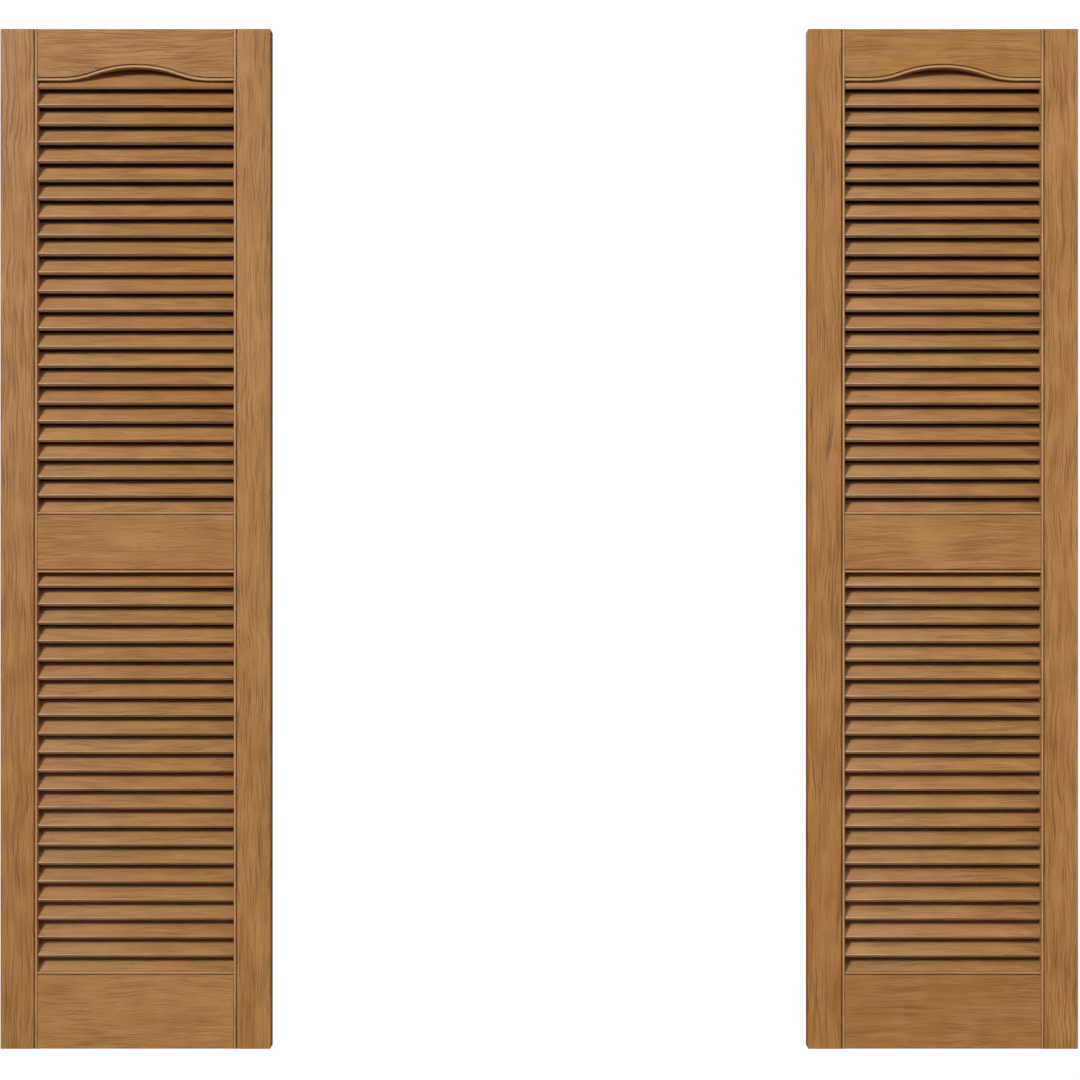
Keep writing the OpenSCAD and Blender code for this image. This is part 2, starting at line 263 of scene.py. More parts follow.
def timber(name, looks, along, pale, amber, is_slat=False, is_soiled=False):
    """Stained hardwood with its grain along X or Z, lightened by rubbed wear and painted
    highlights and darkened by dirt and painted shade where the mesh says so.
    """
    material, tree, shader = new_material(name)
    board = mesh_value(tree, "board")
    across, depth, run = board_place(tree, along, board)

    def grain(layer, sideways):
        breadth, thickness, length, detail = GRAIN[layer]
        place = vector(tree, sideways / breadth, depth / thickness, run / length)
        return noise(tree, place, detail)

    def shown(layer, sideways):
        return rise(tree, grain(layer, sideways), *SHOWS[layer])

    sway = (grain("sway", across) - 0.5) * looks.sway / MM
    waver = (grain("waver", across) - 0.5) * looks.waver / MM
    bent = across + sway + waver
    ring = bent + grain("figure", bent) * looks.figure / MM

    lines, wide, pores = (shown(layer, ring) for layer in ("lines", "wide", "pores"))
    bands, fibres = grain("bands", ring), grain("fibres", ring)
    clouds = grain("clouds", across)
    weight = shown("patches", across) * 0.5 + 0.5

    chance = add_node(
        tree, "ShaderNodeTexWhiteNoise", {"W": board}, out="Value", noise_dimensions="1D"
    )
    mottle = (bands - 0.5) * TONE_DEPTH + (clouds - 0.5) * TONE_DEPTH
    tone = mottle + (chance - 0.5) * looks.tint + 0.5
    ground = blend(tree, rise(tree, tone, 0.1, 0.9), rgba(amber), rgba(pale))
    line_depth = looks.line_depth * (1.0 if along == "Z" else LEVEL_LINES)
    marks = (lines * line_depth + wide * WIDE_DEPTH) * weight + pores * looks.pore_depth
    marked = blend(tree, marks, ground, rgba(looks.dark))
    shade = (fibres - 0.5) * FIBRE_DEPTH + 1
    sockets = {0: marked, 1: vector(tree, shade, shade, shade)}
    shaded = add_node(tree, "ShaderNodeVectorMath", sockets, operation="MULTIPLY")

    wear_and_light = mesh_value(tree, "wear_and_light")
    rubbing_and_highlight, worn_and_lit, dirt_and_shade = looks.rubbing_and_highlight, looks.worn_and_lit, looks.dirt_and_shade
    # On slats the colour gets a painted sheen at each leaf's left, and the nose highlight is
    # painted light that fades toward the leaf's right.
    if is_slat:
        left = sheen_share(tree)
        shaded = blend(tree, left * looks.sheen_strength, shaded, rgba(looks.sheen_colour))
        rubbing_and_highlight = (left * left * (1 - LEAST_NOSE_HIGHLIGHT) + LEAST_NOSE_HIGHLIGHT) * looks.nose_highlight_strength
        worn_and_lit, dirt_and_shade = looks.nose_highlight, looks.nose_shade
    # Lightening where the mesh value is positive: rubbed wear with a painted highlight on bead
    # crests, and a painted highlight along slat noses.
    rubbed_and_lit_share = rise(tree, wear_and_light, 0.0, RUBBED_AND_LIT_IN_FULL) * rubbing_and_highlight
    rubbed_and_lit = blend(tree, rubbed_and_lit_share, shaded, rgba(worn_and_lit))
    # Darkening where the mesh value is negative: dirt and painted shade in grooves, and painted
    # shade on slat noses.
    colour = blend(tree, rise(tree, 0 - wear_and_light, 0.0, 1.0) * dirt_and_shade, rubbed_and_lit, rgba(looks.shade_and_grime))
    # Painted shade deep in the louvres, in place of the shadow between the slats.
    if is_soiled:
        colour = soil(tree, colour, looks)

    cut = (lines * RELIEF["lines"] + wide * RELIEF["wide"]) * weight
    height = fibres * RELIEF["fibres"] - cut - pores * RELIEF["pores"]
    relief = {"Height": height, "Strength": 1.0, "Distance": looks.relief}
    bump = add_node(tree, "ShaderNodeBump", relief)
    gloss = (clouds - 0.5) * CLOUD_GLOSS + lines * LINE_GLOSS + looks.roughness
    wire(tree, shader, Base_Color=colour, Roughness=gloss, Normal=bump)
    shader.inputs["Specular IOR Level"].default_value = looks.shine
    return material


def zinc_plate(name, looks):
    """Pressed steel with a dull zinc coat."""
    material, tree, shader = new_material(name)
    cloud = noise(tree, object_place(tree), 3.0, ZINC_CLOUD)
    relief = {
        "Height": noise(tree, object_place(tree), 2.0, ZINC_GRAIN),
        "Strength": 0.3,
        "Distance": ZINC_DEPTH,
    }
    colour = blend(tree, rise(tree, cloud, 0.3, 0.7), rgba(looks.zinc_dark), rgba(looks.zinc))
    gloss = cloud * ZINC_GLOSS + looks.zinc_roughness
    bump = add_node(tree, "ShaderNodeBump", relief)
    wire(tree, shader, Base_Color=colour, Roughness=gloss, Normal=bump)
    shader.inputs["Metallic"].default_value = 1.0
    return material


def get_material(name, make, *values, **flags):
    """The material of that name, made the first time it is asked for."""
    return bpy.data.materials.get(name) or make(name, *values, **flags)


def board_material(along):
    looks = bpy.context.scene.shutter_timber
    name = "timber_upright" if along == "Z" else "timber_level"
    return get_material(name, timber, looks, along, looks.pale, looks.amber)


def slat_material(is_soiled=True):
    looks = bpy.context.scene.shutter_timber
    name = "timber_slats" if is_soiled else "timber_arch_slats"
    colours = (looks.slat_pale, looks.slat_amber)
    return get_material(name, timber, looks, "X", *colours, is_slat=True, is_soiled=is_soiled)


def zinc_material():
    return get_material("zinc_plate", zinc_plate, bpy.context.scene.shutter_hangers)


# ---- Mesh helpers ----


def new_bmesh():
    """An empty bmesh with a place for each vert's board number and each corner's wear and painted
    light.
    """
    bm = bmesh.new()
    bm.verts.layers.float.new("board")
    bm.loops.layers.float.new("wear_and_light")
    return bm


def merged_copy(node):
    """A bmesh of a CAD node with its triangles joined into whole faces."""
    bm = new_bmesh()
    bm.from_mesh(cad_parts[node].data)
    bmesh.ops.remove_doubles(bm, verts=bm.verts, dist=NEAR / 10)
    bmesh.ops.dissolve_limit(bm, angle_limit=FLAT, verts=bm.verts, edges=bm.edges)
    return bm


def edges_at(bm, **planes):
    """Edges that lie on every plane given, such as y=0.01 and z=0."""
    places = [("xyz".index(axis), value) for axis, value in planes.items()]
    return [
        edge
        for edge in bm.edges
        if all(abs(vert.co[i] - value) < NEAR for vert in edge.verts for i, value in places)
    ]


def ease(bm, edges, width, segments=3):
    """Rounds edges over and returns the new faces."""
    if not edges:
        raise RuntimeError("found no edges to ease")
    return bmesh.ops.bevel(
        bm,
        geom=edges,
        offset=width,
        offset_type="OFFSET",
        segments=segments,
        profile=0.5,
        affect="EDGES",
        clamp_overlap=True,
        material=-1,
    )["faces"]


def set_wear_and_light(bm, faces, measure):
    """Sets the wear and painted light at each corner: 1 on a crest with rubbed wear and a painted
    highlight and on a nose's painted highlight, 0 on plain wood, -1 for dirt and painted shade in
    a groove and for painted shade on a nose face.
    """
    layer = bm.loops.layers.float["wear_and_light"]
    for face in faces:
        for loop in face.loops:
            loop[layer] = measure(loop.vert)


def wear_and_shade_beads(bm, front, crest, groove):
    """Lightens the crests of a board's beads with rubbed wear and a painted highlight, and darkens
    the grooves beside them with dirt and painted shade.
    """

    def depth(vert):
        return vert.co.y - front

    worked = [face for face in bm.faces if NEAR < max(map(depth, face.verts)) < groove]
    set_wear_and_light(bm, worked, lambda vert: max(-1.0, 1 - depth(vert) / crest))


def smooth_by_angle(bm):
    """Smooth faces, with an edge kept crisp where two faces turn sharply."""
    for face in bm.faces:
        face.smooth = True
    for edge in bm.edges:
        edge.smooth = len(edge.link_faces) == 2 and edge.calc_face_angle(0.0) < CRISP


def mark_board(bm, verts, number):
    """Numbers the verts of one board, which gives it its own stretch of grain."""
    layer = bm.verts.layers.float["board"]
    for vert in verts:
        vert[layer] = number


def smooth_fan(face, vert):
    """The faces round a vert that a face runs smoothly into, itself among them."""
    fan, waiting = {face}, [face]
    while waiting:
        near = waiting.pop()
        for edge in near.edges:
            if edge.smooth and vert in edge.verts:
                fresh = [other for other in edge.link_faces if other not in fan]
                fan.update(fresh)
                waiting += fresh
    return fan


def led_normals(bm):
    """A normal for each corner, led by the broadest faces, so that flat faces shade as flat."""
    pull = {face: face.normal * face.calc_area() for face in bm.faces}
    return [
        sum((pull[near] for near in smooth_fan(face, loop.vert)), Vector()).normalized()
        for face in bm.faces
        for loop in face.loops
    ]


def finish_piece(bm, node, suffix, material):
    """Turns a bmesh into the piece that stands for a CAD node."""
    bm.normal_update()
    smooth_by_angle(bm)
    normals = led_normals(bm)
    mesh = bpy.data.meshes.new(f"{node}_{suffix}")
    bm.to_mesh(mesh)
    bm.free()
    mesh.normals_split_custom_set(normals)
    piece = bpy.data.objects.new(mesh.name, mesh)
    bpy.context.scene.collection.objects.link(piece)
    mesh.materials.append(material)
    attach(piece, "root")
    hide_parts(node)
    return piece


def board_number(node):
    """A number for a node's first board. Slats of a node count on from it."""
    return float(sorted(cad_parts).index(node) * 2)


# ---- Boards ----


def make_stile(node, ease_width, crest, groove):
    """A stile with its outer arrises and its ends eased."""
    low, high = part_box(node)
    bm = merged_copy(node)
    mark_board(bm, bm.verts, board_number(node))
    wear_and_shade_beads(bm, low[1], crest, groove)
    outer_left = node in ("left_outer_stile", "right_inner_stile")
    outer = low[0] if outer_left else high[0]
    arrises = edges_at(bm, x=outer, y=low[1]) + edges_at(bm, x=outer, y=high[1])
    for z in (low[2], high[2]):
        for planes in ({"y": low[1]}, {"y": high[1]}, {"x": outer}):
            arrises += edges_at(bm, z=z, **planes)
    ease(bm, list(set(arrises)), ease_width)
    return finish_piece(bm, node, "board", board_material("Z"))


def bead_strip(bm, front):
    """The narrow face on a rail's front that its arched bead is worked on."""
    faces = [f for f in bm.faces if all(abs(v.co.y - front) < NEAR for v in f.verts)]
    return min(faces, key=lambda face: face.calc_area())


def make_top_rail(node, ease_width, bead_round, crest, groove):
    """The arched rail, its bead rounded and its top arrises eased."""
    (_, front, _), (_, back, top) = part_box(node)
    bm = merged_copy(node)
    mark_board(bm, bm.verts, board_number(node))
    strip = bead_strip(bm, front)
    ends = (min(v.co.x for v in strip.verts), max(v.co.x for v in strip.verts))
    curved = [
        edge
        for edge in strip.edges
        if not any(all(abs(v.co.x - end) < NEAR for v in edge.verts) for end in ends)
    ]
    ease(bm, curved, bead_round, segments=4)
    wear_and_shade_beads(bm, front, crest, groove)
    # The whole bead strip is lightened: rubbed wear with a painted highlight.
    set_wear_and_light(bm, [bead_strip(bm, front)], lambda vert: 1.0)
    ease(bm, edges_at(bm, y=front, z=top) + edges_at(bm, y=back, z=top), ease_width)
    return finish_piece(bm, node, "board", board_material("X"))


def make_mid_rail(node, crest, groove):
    """The mid rail, whose beads are part of its own shape."""
    bm = merged_copy(node)
    mark_board(bm, bm.verts, board_number(node))
    wear_and_shade_beads(bm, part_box(node)[0][1], crest, groove)
    return finish_piece(bm, node, "board", board_material("X"))


def make_bottom_rail(node, ease_width, crest, groove):
    """The bottom rail, eased along its lower arrises."""
    (_, front, bottom), (_, back, _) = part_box(node)
    bm = merged_copy(node)
    mark_board(bm, bm.verts, board_number(node))
    wear_and_shade_beads(bm, front, crest, groove)
    ease(bm, edges_at(bm, y=front, z=bottom) + edges_at(bm, y=back, z=bottom), ease_width)
    return finish_piece(bm, node, "board", board_material("X"))


# ---- Slats ----


def add_slat(bm, low, high, sizes, number):
    """One slat with a rounded nose, its square back edge at its box's back and top."""
    run, climb = math.cos(sizes.angle), math.sin(sizes.angle)
    back, top = high[1] - sizes.thickness * climb, high[2]
    width, thickness = sizes.width, sizes.thickness
    corners = ((0, thickness), (0, 0), (sizes.rubbed_and_lit, 0), (width, 0), (width, thickness))
    section = [
        (back + (s - width) * run + n * climb, top + (s - width) * climb - n * run)
        for s, n in corners
    ]
    ends = [[bm.verts.new((x, y, z)) for y, z in section] for x in (low[0], high[0])]
    bm.faces.new(ends[0])
    bm.faces.new(reversed(ends[1]))
    sides = [
        bm.faces.new((ends[0][i], ends[0][i - 1], ends[1][i - 1], ends[1][i]))
        for i in range(len(section))
    ]
    # The strip along the top of the nose gets a painted highlight that fades back from the nose;
    # the nose face gets painted shade.
    nose, strip = sides[1:3]
    start, reach = section[1][0], section[2][0] - section[1][0]
    set_wear_and_light(bm, [strip], lambda vert: 1 - (vert.co.y - start) / reach)
    set_wear_and_light(bm, [nose], lambda vert: -1.0)
    mark_board(bm, ends[0] + ends[1], number)
    nose_low, nose_top = (bm.edges.get((ends[0][i], ends[1][i])) for i in (0, 1))
    arris = ease(bm, [nose_top], sizes.upper_round, segments=5)
    heights = [vert.co.z for face in arris for vert in face.verts]
    foot, rounded = min(heights), max(heights) - min(heights)
    # The upper rounding runs from a painted highlight at its top to painted shade at its foot.
    gain = 1 - NOSE_FOOT_SHADE
    set_wear_and_light(bm, arris, lambda vert: gain * (vert.co.z - foot) / rounded + NOSE_FOOT_SHADE)
    ease(bm, [nose_low], sizes.lower_round, segments=6)


def make_louvres(node, sizes, single_rise):
    """The slats of one node, placed from the node's own box."""
    low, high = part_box(node)
    rise_between = high[2] - low[2] - single_rise
    tops = [high[2]] if rise_between < NEAR else [high[2], high[2] - rise_between]
    bm = new_bmesh()
    for i, top in enumerate(tops):
        add_slat(bm, low, (high[0], high[1], top), sizes, board_number(node) + i)
    bmesh.ops.recalc_face_normals(bm, faces=bm.faces)
    return finish_piece(bm, node, "slats", slat_material())


def make_cut_slats(node, material):
    """Slats that keep their own outline: the wide one behind the arch and the trimmed ones."""
    bm = merged_copy(node)
    mark_board(bm, bm.verts, board_number(node))
    return finish_piece(bm, node, "slats", material)


# ---- Hangers ----


def is_square(face):
    """Whether a face lies flat on a plate or stands square to it, as a countersink doesn't."""
    return min(abs(face.normal.y), 1 - abs(face.normal.y)) < SQUARE


def make_plates(ease_width):
    """The keyhole plates, with the pressed edges of their backs eased."""
    node = "hanger_plates"
    bm = merged_copy(node)
    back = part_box(node)[1][1]
    pressed = [edge for edge in edges_at(bm, y=back) if all(map(is_square, edge.link_faces))]
    ease(bm, pressed, ease_width, segments=2)
    for vert in bm.verts:
        vert.co.y = min(vert.co.y, back)
    return finish_piece(bm, node, "pressed", zinc_material())


def screw_places(node):
    """Centre of each screw's tip, read from the flat tips of the CAD screws."""
    bm = merged_copy(node)
    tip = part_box(node)[0][1]
    tips = [f for f in bm.faces if all(abs(v.co.y - tip) < NEAR for v in f.verts)]
    places = [face.calc_center_median().copy() for face in tips]
    bm.free()
    return places


def ring(bm, radius, count):
    """A ring of edges in the XY plane."""
    made = bmesh.ops.create_circle(bm, cap_ends=False, radius=radius, segments=count)["verts"]
    return list({edge for vert in made for edge in vert.link_edges})


def push_ring(bm, edges, drop, spread):
    """Extrudes a ring down Z by drop and scales it by spread. Returns the new ring."""
    out = bmesh.ops.extrude_edge_only(bm, edges=edges)["geom"]
    verts = [item for item in out if isinstance(item, bmesh.types.BMVert)]
    bmesh.ops.translate(bm, verts=verts, vec=(0, 0, -drop))
    bmesh.ops.scale(bm, verts=verts, vec=(spread, spread, 1))
    return [item for item in out if isinstance(item, bmesh.types.BMEdge)]


def cross_outline(bm, reach, half_width):
    """Twelve edges round a plus sign in the XY plane."""
    quarter = [(reach, -half_width), (reach, half_width), (half_width, half_width)]
    corners = []
    for turn in range(4):
        spin = Matrix.Rotation(turn * math.pi / 2, 2)
        corners += [spin @ Vector(corner) for corner in quarter]
    verts = [bm.verts.new((corner.x, corner.y, 0)) for corner in corners]
    return [bm.edges.new((verts[i - 1], verts[i])) for i in range(len(verts))]


def add_screw(bm, head_r, shank_r, length):
    """A countersunk screw with a cross recess. Its head is at the origin and it points down Z."""
    sink = head_r - shank_r
    rim = ring(bm, head_r, HEAD_SIDES)
    cross = cross_outline(bm, head_r * CROSS_REACH, head_r * CROSS_HALF_WIDTH)
    bmesh.ops.bridge_loops(bm, edges=rim + cross)
    floor = push_ring(bm, cross, sink * CROSS_DEPTH, CROSS_TAPER)
    bmesh.ops.edgeloop_fill(bm, edges=floor)
    neck = push_ring(bm, rim, sink, shank_r / head_r)
    tip = push_ring(bm, neck, length - sink, 1)
    bmesh.ops.edgeloop_fill(bm, edges=tip)


def make_screws(looks):
    """All the plate screws."""
    node = "hanger_screws"
    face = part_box(node)[1][1]
    bm = bmesh.new()
    for place in screw_places(node):
        one = bmesh.new()
        add_screw(one, looks.head_radius, looks.shank_radius, face - place.y)
        turn = Matrix.Rotation(place.z * SCREW_TURN, 4, "Z")
        drive = Matrix.Rotation(-math.pi / 2, 4, "X") @ turn
        place.y = face
        bmesh.ops.transform(one, matrix=Matrix.Translation(place) @ drive, verts=one.verts)
        bmesh.ops.recalc_face_normals(one, faces=one.faces)
        mesh = bpy.data.meshes.new("one_screw")
        one.to_mesh(mesh)
        one.free()
        bm.from_mesh(mesh)
        bpy.data.meshes.remove(mesh)
    return finish_piece(bm, node, "driven", zinc_material())


# ---- Studio ----


def area_light(name, place, aim, width, height, power, spread=math.pi):
    """A soft light that faces a point."""
    data = bpy.data.lights.new(name, "AREA")
    data.shape = "RECTANGLE"
    data.size = width
    data.size_y = height
    data.energy = power
    data.spread = spread
    light = bpy.data.objects.new(name, data)
    light.location = place
    light.rotation_euler = (Vector(aim) - Vector(place)).to_track_quat("-Z", "Y").to_euler()
    bpy.context.scene.collection.objects.link(light)


def make_world(glow):
    """A white surround for the eye that gives little light of its own."""
    world = bpy.data.worlds.new("studio_air")
    world.use_nodes = True
    tree = world.node_tree
    seen = add_node(tree, "ShaderNodeLightPath", {}, out="Is Camera Ray")
    background = tree.nodes["Background"]
    background.inputs["Color"].default_value = (1, 1, 1, 1)
    strength = seen * (1 - glow) + glow
    tree.links.new(strength.socket, background.inputs["Strength"])
    bpy.context.scene.world = world


def make_floor(height, reach):
    """A pale floor below the hung shutters."""
    bm = bmesh.new()
    bmesh.ops.create_grid(bm, x_segments=1, y_segments=1, size=reach)
    bmesh.ops.translate(bm, verts=bm.verts, vec=(0, 0, height))
    mesh = bpy.data.meshes.new("studio_floor")
    bm.to_mesh(mesh)
    bm.free()
    floor = bpy.data.objects.new("studio_floor", mesh)
    bpy.context.scene.collection.objects.link(floor)
    material, _, shader = new_material("pale_floor")
    shader.inputs["Base Color"].default_value = rgba(FLOOR_COLOUR)
    shader.inputs["Roughness"].default_value = FLOOR_ROUGHNESS
    mesh.materials.append(material)


def make_camera(place, aim, lens):
    data = bpy.data.cameras.new("shutter_camera")
    data.lens = lens
    data.sensor_width = SENSOR_WIDTH
    camera = bpy.data.objects.new("shutter_camera", data)
    camera.location = place
    camera.rotation_euler = (Vector(aim) - Vector(place)).to_track_quat("-Z", "Y").to_euler()
    bpy.context.scene.collection.objects.link(camera)
    bpy.context.scene.camera = camera


# ---- Settings ----


def length_setting(name, description, default, low=0.0, high=10.0):
    return FloatProperty(
        name=name, description=description, default=default, min=low, max=high,
        unit="LENGTH", subtype="DISTANCE", precision=5,
    )


def colour_setting(name, description, default):
    return FloatVectorProperty(
        name=name, description=description, default=default, min=0, max=1, size=3, subtype="COLOR"
    )


def share_setting(name, description, default, high=1.0):
    return FloatProperty(
        name=name, description=description, default=default, min=0, max=high, subtype="FACTOR"
    )


def angle_setting(name, description, degrees):
    return FloatProperty(
        name=name, description=description, default=math.radians(degrees),
        min=math.radians(1), max=math.pi, subtype="ANGLE", unit="ROTATION",
    )


def power_setting(name, description, default):
    return FloatProperty(
        name=name, description=description, default=default, min=0, unit="POWER"
    )


class ShutterTimber(bpy.types.PropertyGroup):
    """The stained timber of the boards and slats, with the painted highlights, sheen and shade
    laid on it.
    """

    pale: colour_setting("Pale wood", "Colour of the lightest wood", (0.455, 0.222, 0.070))
    amber: colour_setting("Amber wood", "Colour of the warmer wood", (0.350, 0.156, 0.038))
    dark: colour_setting("Grain lines", "Colour of the lines and pores", (0.13, 0.050, 0.015))
    slat_pale: colour_setting(
        "Pale slat", "Colour of the lightest wood of the slats", (0.47, 0.245, 0.088)
    )
    slat_amber: colour_setting(
        "Amber slat", "Colour of the warmer wood of the slats", (0.37, 0.178, 0.055)
    )
    # Near-black colour of the painted shade in the louvres and on the noses, and of the dirt and
    # painted shade in the grooves.
    shade_and_grime: colour_setting(
        "Grime", "Colour of the grime in the louvres and the grooves", (0.012, 0.006, 0.003)
    )
    # Bead crest colour and its strength: rubbed wear with a painted highlight.
    worn_and_lit: colour_setting("Rubbed bead", "Colour of a bead's rubbed crest", (0.66, 0.44, 0.25))
    rubbing_and_highlight: share_setting("Bead rubbing", "Strength of the rubbed wood on the beads", 0.45)
    # Painted highlight along the slat noses, and its strength.
    nose_highlight: colour_setting("Rubbed nose", "Colour of a slat's rubbed arris", (0.84, 0.63, 0.45))
    nose_highlight_strength: share_setting("Nose rubbing", "Strength of the rubbed wood on the slats", 0.9)
    # Painted shade on the down-facing face of each slat's nose.
    nose_shade: share_setting("Nose dirt", "Strength of the grime on the face of a nose", 0.3)
    # Painted sheen on the left of each leaf's slats, and its strength.
    sheen_colour: colour_setting(
        "Sunned wood", "Colour that the sunnier side of the slats fades to", (0.72, 0.51, 0.37)
    )
    sheen_strength: share_setting("Sunning", "Strength of the fading on the sunnier side", 0.08)
    # Darkening in the grooves beside the beads: dirt and painted shade.
    dirt_and_shade: share_setting("Groove dirt", "Strength of the grime in the grooves", 0.22)
    # Painted shade deep in the louvres, and the depths where it starts and ends.
    soil: share_setting("Soiling", "Strength of the grime deep in the louvres", 0.95)
    louvre_shade_start: length_setting(
        "Grime start", "How far behind a leaf's middle the grime starts", 0.0035, -0.02, 0.02
    )
    louvre_shade_end: length_setting(
        "Grime end", "How far behind a leaf's middle the grime ends", 0.0085, -0.02, 0.02
    )
    sway: length_setting("Sway", "How far the grain wanders over a hand's width", 0.012)
    waver: length_setting("Waver", "How far the grain wanders over a finger's width", 0.005)
    figure: length_setting("Figure", "How far the grain is drawn out into loops", 0.014)
    relief: length_setting("Relief", "Depth of the grain lines", 0.00035)
    line_depth: share_setting("Line strength", "Strength of the grain lines", 0.56)
    pore_depth: share_setting("Pore strength", "Strength of the pores", 0.25)
    tint: share_setting("Board tint", "Difference in tone between boards", 0.35)
    roughness: share_setting("Roughness", "Roughness of the satin finish", 0.44)
    shine: share_setting("Shine", "Strength of the satin finish's reflections", 0.28)


class ShutterShapes(bpy.types.PropertyGroup):
    """Rounded edges of the boards and the section of a slat."""

    board_ease: length_setting("Board ease", "Rounding on the arrises of the boards", 0.0011)
    bead_round: length_setting(
        "Bead rounding", "Rounding on each side of the arched bead", 0.0015
    )
    # The lightened crest is rubbed wear with a painted highlight.
    crest: length_setting(
        "Crest", "How far the rubbed crest of a bead reaches down its sides", 0.00024
    )
    groove: length_setting(
        "Groove", "Depth that holds every bead and the groove beside it", 0.0024
    )
    angle: angle_setting("Slat angle", "Angle of the slats from level", 45)
    width: length_setting("Slat width", "Width of a slat along its slope", 0.036)
    thickness: length_setting("Slat thickness", "Thickness of a slat", 0.0064)
    # Width of the painted highlight strip along a slat's nose.
    rubbed_and_lit: length_setting(
        "Rubbed strip", "Width of the rubbed strip along a slat's nose", 0.0024
    )
    upper_round: length_setting(
        "Upper nose", "Rounding on the upper edge of a slat's nose", 0.0009
    )
    lower_round: length_setting(
        "Lower nose", "Rounding on the lower edge of a slat's nose", 0.0022
    )


class ShutterHangers(bpy.types.PropertyGroup):
    """The steel plates and screws on the backs."""

    plate_ease: length_setting("Plate ease", "Rounding on the edges of a plate", 0.00025)
    head_radius: length_setting("Head radius", "Radius of a plate screw's head", 0.003)
    shank_radius: length_setting("Shank radius", "Radius of a plate screw's shank", 0.0015)
    zinc: colour_setting("Zinc", "Colour of the zinc coat", (0.62, 0.63, 0.65))
    zinc_dark: colour_setting("Dull zinc", "Colour of the duller patches", (0.44, 0.45, 0.46))
    zinc_roughness: share_setting("Zinc roughness", "Roughness of the zinc coat", 0.32)


class ShutterStudio(bpy.types.PropertyGroup):
    """The camera, the lights and the floor."""

    distance: length_setting(
        "Camera distance", "From the front of the shutters to the camera", 4.1, 1, 20
    )
    eye_height: length_setting("Camera height", "Height of the camera", 0.697, 0, 5)
    lens: FloatProperty(
        name="Lens", description="Focal length of the camera",
        default=99.8, min=20, max=300, unit="CAMERA",
    )
    key_power: power_setting("Key power", "Power of the main light", 100)
    key_size: length_setting("Key size", "Width and height of the main light", 2.1)
    key_spread: angle_setting(
        "Key spread", "Angle the main light is held to, so that it falls off at the edges", 70
    )
    fill_power: power_setting("Fill power", "Power of the broad light in front", 32)
    side_power: power_setting("Side power", "Power of the light beside the right leaf", 62)
    back_power: power_setting("Back power", "Power of the light behind", 40)
    glow: share_setting("Surround glow", "Light given by the white surround", 0.045)
    floor_drop: length_setting(
        "Floor drop", "From the foot of the shutters down to the floor", 0.85
    )
    floor_reach: length_setting("Floor reach", "Half the width of the floor", 2.2)


# ---- Operators ----


class SHUTTERS_OT_stiles(bpy.types.Operator):
    """Finish the four stiles"""

    bl_idname = "shutters.stiles"
    bl_label = "Stiles"

    def execute(self, context):
        shapes = context.scene.shutter_shapes
        for node in STILES:
            make_stile(node, shapes.board_ease, shapes.crest, shapes.groove)
        return {"FINISHED"}


class SHUTTERS_OT_top_rails(bpy.types.Operator):
    """Finish the arched top rails"""

    bl_idname = "shutters.top_rails"
    bl_label = "Top rails"

    def execute(self, context):
        shapes = context.scene.shutter_shapes
        for side in SIDES:
            sizes = (shapes.board_ease, shapes.bead_round, shapes.crest, shapes.groove)
            make_top_rail(f"{side}_top_rail", *sizes)
        return {"FINISHED"}


class SHUTTERS_OT_mid_rails(bpy.types.Operator):
    """Finish the mid rails"""

    bl_idname = "shutters.mid_rails"
    bl_label = "Mid rails"

    def execute(self, context):
        shapes = context.scene.shutter_shapes
        for side in SIDES:
            make_mid_rail(f"{side}_mid_rail", shapes.crest, shapes.groove)
        return {"FINISHED"}


class SHUTTERS_OT_bottom_rails(bpy.types.Operator):
    """Finish the bottom rails"""

    bl_idname = "shutters.bottom_rails"
    bl_label = "Bottom rails"

    def execute(self, context):
        shapes = context.scene.shutter_shapes
        for side in SIDES:
            make_bottom_rail(f"{side}_bottom_rail", shapes.board_ease, shapes.crest, shapes.groove)
        return {"FINISHED"}


class SHUTTERS_OT_slats(bpy.types.Operator):
    """Make the whole slats of both banks"""

    bl_idname = "shutters.slats"
    bl_label = "Slats"

    def execute(self, context):
        heights = {node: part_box(node)[1][2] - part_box(node)[0][2] for node in LOUVRES}
        single_rise = min(heights.values())
        for node in LOUVRES:
            make_louvres(node, context.scene.shutter_shapes, single_rise)
        return {"FINISHED"}


class SHUTTERS_OT_cut_slats(bpy.types.Operator):
    """Finish the wide slats behind the arches and the trimmed slats"""

    bl_idname = "shutters.cut_slats"
    bl_label = "Cut slats"

    def execute(self, context):
        for side in SIDES:
            make_cut_slats(f"{side}_arch_louvre", slat_material(is_soiled=False))
            make_cut_slats(f"{side}_end_louvres", slat_material())
        return {"FINISHED"}


class SHUTTERS_OT_hangers(bpy.types.Operator):
    """Finish the keyhole plates and make their screws"""

    bl_idname = "shutters.hangers"
    bl_label = "Wall hangers"

    def execute(self, context):
        looks = context.scene.shutter_hangers
        make_plates(looks.plate_ease)
        make_screws(looks)
        return {"FINISHED"}


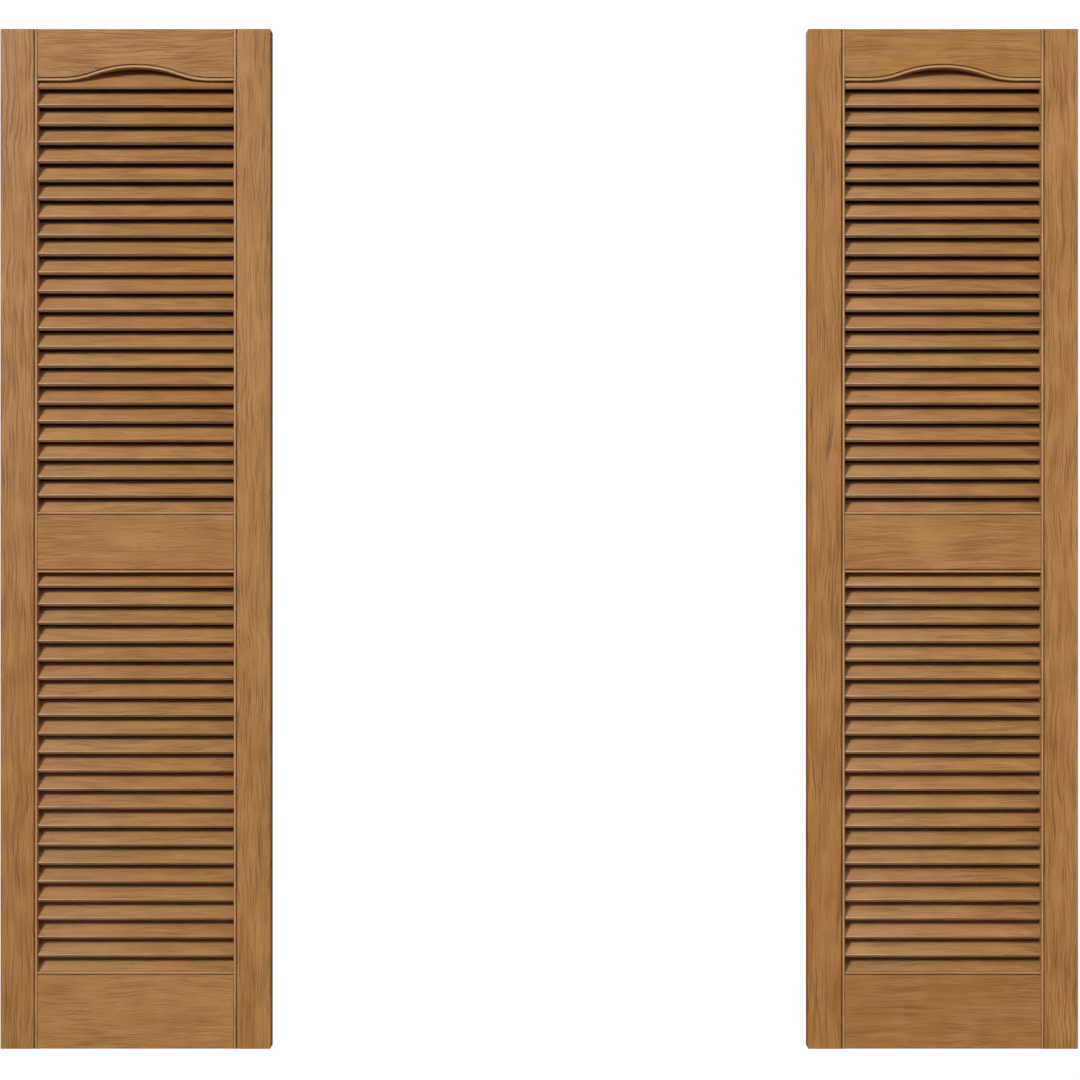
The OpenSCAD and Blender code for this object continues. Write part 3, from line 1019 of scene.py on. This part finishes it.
class SHUTTERS_OT_studio(bpy.types.Operator):
    """Set up the floor, the lights and the camera"""

    bl_idname = "shutters.studio"
    bl_label = "Studio"

    def execute(self, context):
        studio = context.scene.shutter_studio
        low, high = (Vector(corner) for corner in CAD_BOX)
        middle = (low + high) / 2
        key = (studio.key_size, studio.key_size, studio.key_power, studio.key_spread)
        area_light("key_light", middle + KEY_PLACE, middle + KEY_AIM, *key)
        area_light("front_fill", middle + FILL_PLACE, middle, *FILL_SIZE, studio.fill_power)
        area_light("side_light", middle + SIDE_PLACE, middle, *SIDE_SIZE, studio.side_power)
        area_light("back_light", middle + BACK_PLACE, middle, *BACK_SIZE, studio.back_power)
        make_world(studio.glow)
        make_floor(low.z - studio.floor_drop, studio.floor_reach)
        eye = Vector((EYE_RIGHT, low.y - studio.distance, studio.eye_height))
        make_camera(eye, eye + Vector((0, 1, 0)), studio.lens)
        context.scene.view_settings.view_transform = "Standard"
        return {"FINISHED"}


class SHUTTERS_PT_panel(bpy.types.Panel):
    """Steps for finishing the shutters."""

    bl_label = "Shutters"
    bl_idname = "SHUTTERS_PT_panel"
    bl_space_type = "VIEW_3D"
    bl_region_type = "UI"
    bl_category = "Shutters"

    def draw(self, context):
        for operator in OPERATORS:
            self.layout.operator(operator.bl_idname)
        for name in GROUPS:
            group = getattr(context.scene, name)
            box = self.layout.box()
            for setting in group.__annotations__:
                box.prop(group, setting)


OPERATORS = (
    SHUTTERS_OT_stiles,
    SHUTTERS_OT_top_rails,
    SHUTTERS_OT_mid_rails,
    SHUTTERS_OT_bottom_rails,
    SHUTTERS_OT_slats,
    SHUTTERS_OT_cut_slats,
    SHUTTERS_OT_hangers,
    SHUTTERS_OT_studio,
)
GROUPS = {
    "shutter_timber": ShutterTimber,
    "shutter_shapes": ShutterShapes,
    "shutter_hangers": ShutterHangers,
    "shutter_studio": ShutterStudio,
}


def register():
    for cls in (*GROUPS.values(), *OPERATORS, SHUTTERS_PT_panel):
        bpy.utils.register_class(cls)
    for name, group in GROUPS.items():
        setattr(bpy.types.Scene, name, PointerProperty(type=group))


def unregister():
    for name in GROUPS:
        delattr(bpy.types.Scene, name)
    for cls in (SHUTTERS_PT_panel, *reversed(OPERATORS), *GROUPS.values()):
        bpy.utils.unregister_class(cls)


def main():
    register()
    bpy.ops.shutters.stiles()
    bpy.ops.shutters.top_rails()
    bpy.ops.shutters.mid_rails()
    bpy.ops.shutters.bottom_rails()
    bpy.ops.shutters.slats()
    bpy.ops.shutters.cut_slats()
    bpy.ops.shutters.hangers()
    bpy.ops.shutters.studio()


if __name__ == "__main__":
    main()
